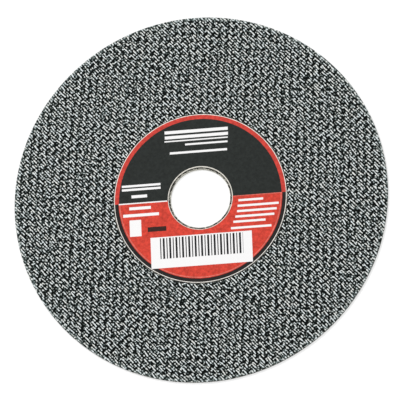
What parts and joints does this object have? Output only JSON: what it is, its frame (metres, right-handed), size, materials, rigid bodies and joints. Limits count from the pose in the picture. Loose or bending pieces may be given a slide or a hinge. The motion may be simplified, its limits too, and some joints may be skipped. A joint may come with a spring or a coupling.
{
  "type": "cut off wheel",
  "caption": "Flat round resin-bonded abrasive cutting wheel with a plain centre bore, woven glass mesh in both faces and a round paper label on one face.",
  "frame": {"origin": "on the wheel's axis, at the level of the lower face on which it lies", "axes": "+Z along the wheel's axis, out of the labelled face; +X to the label's right, so that its dark half lies towards +Y"},
  "size_m": [0.1, 0.1, 0.001],
  "materials": {
    "resin_bonded_grit": "matte, gritty, with glossy resin on the mesh's ridges",
    "printed_paper": "matte paper printed in black and red"
  },
  "bodies": {
    "root": {"abrasive_disc": "resin_bonded_grit", "paper_label": "printed_paper"}
  },
  "joints": []
}
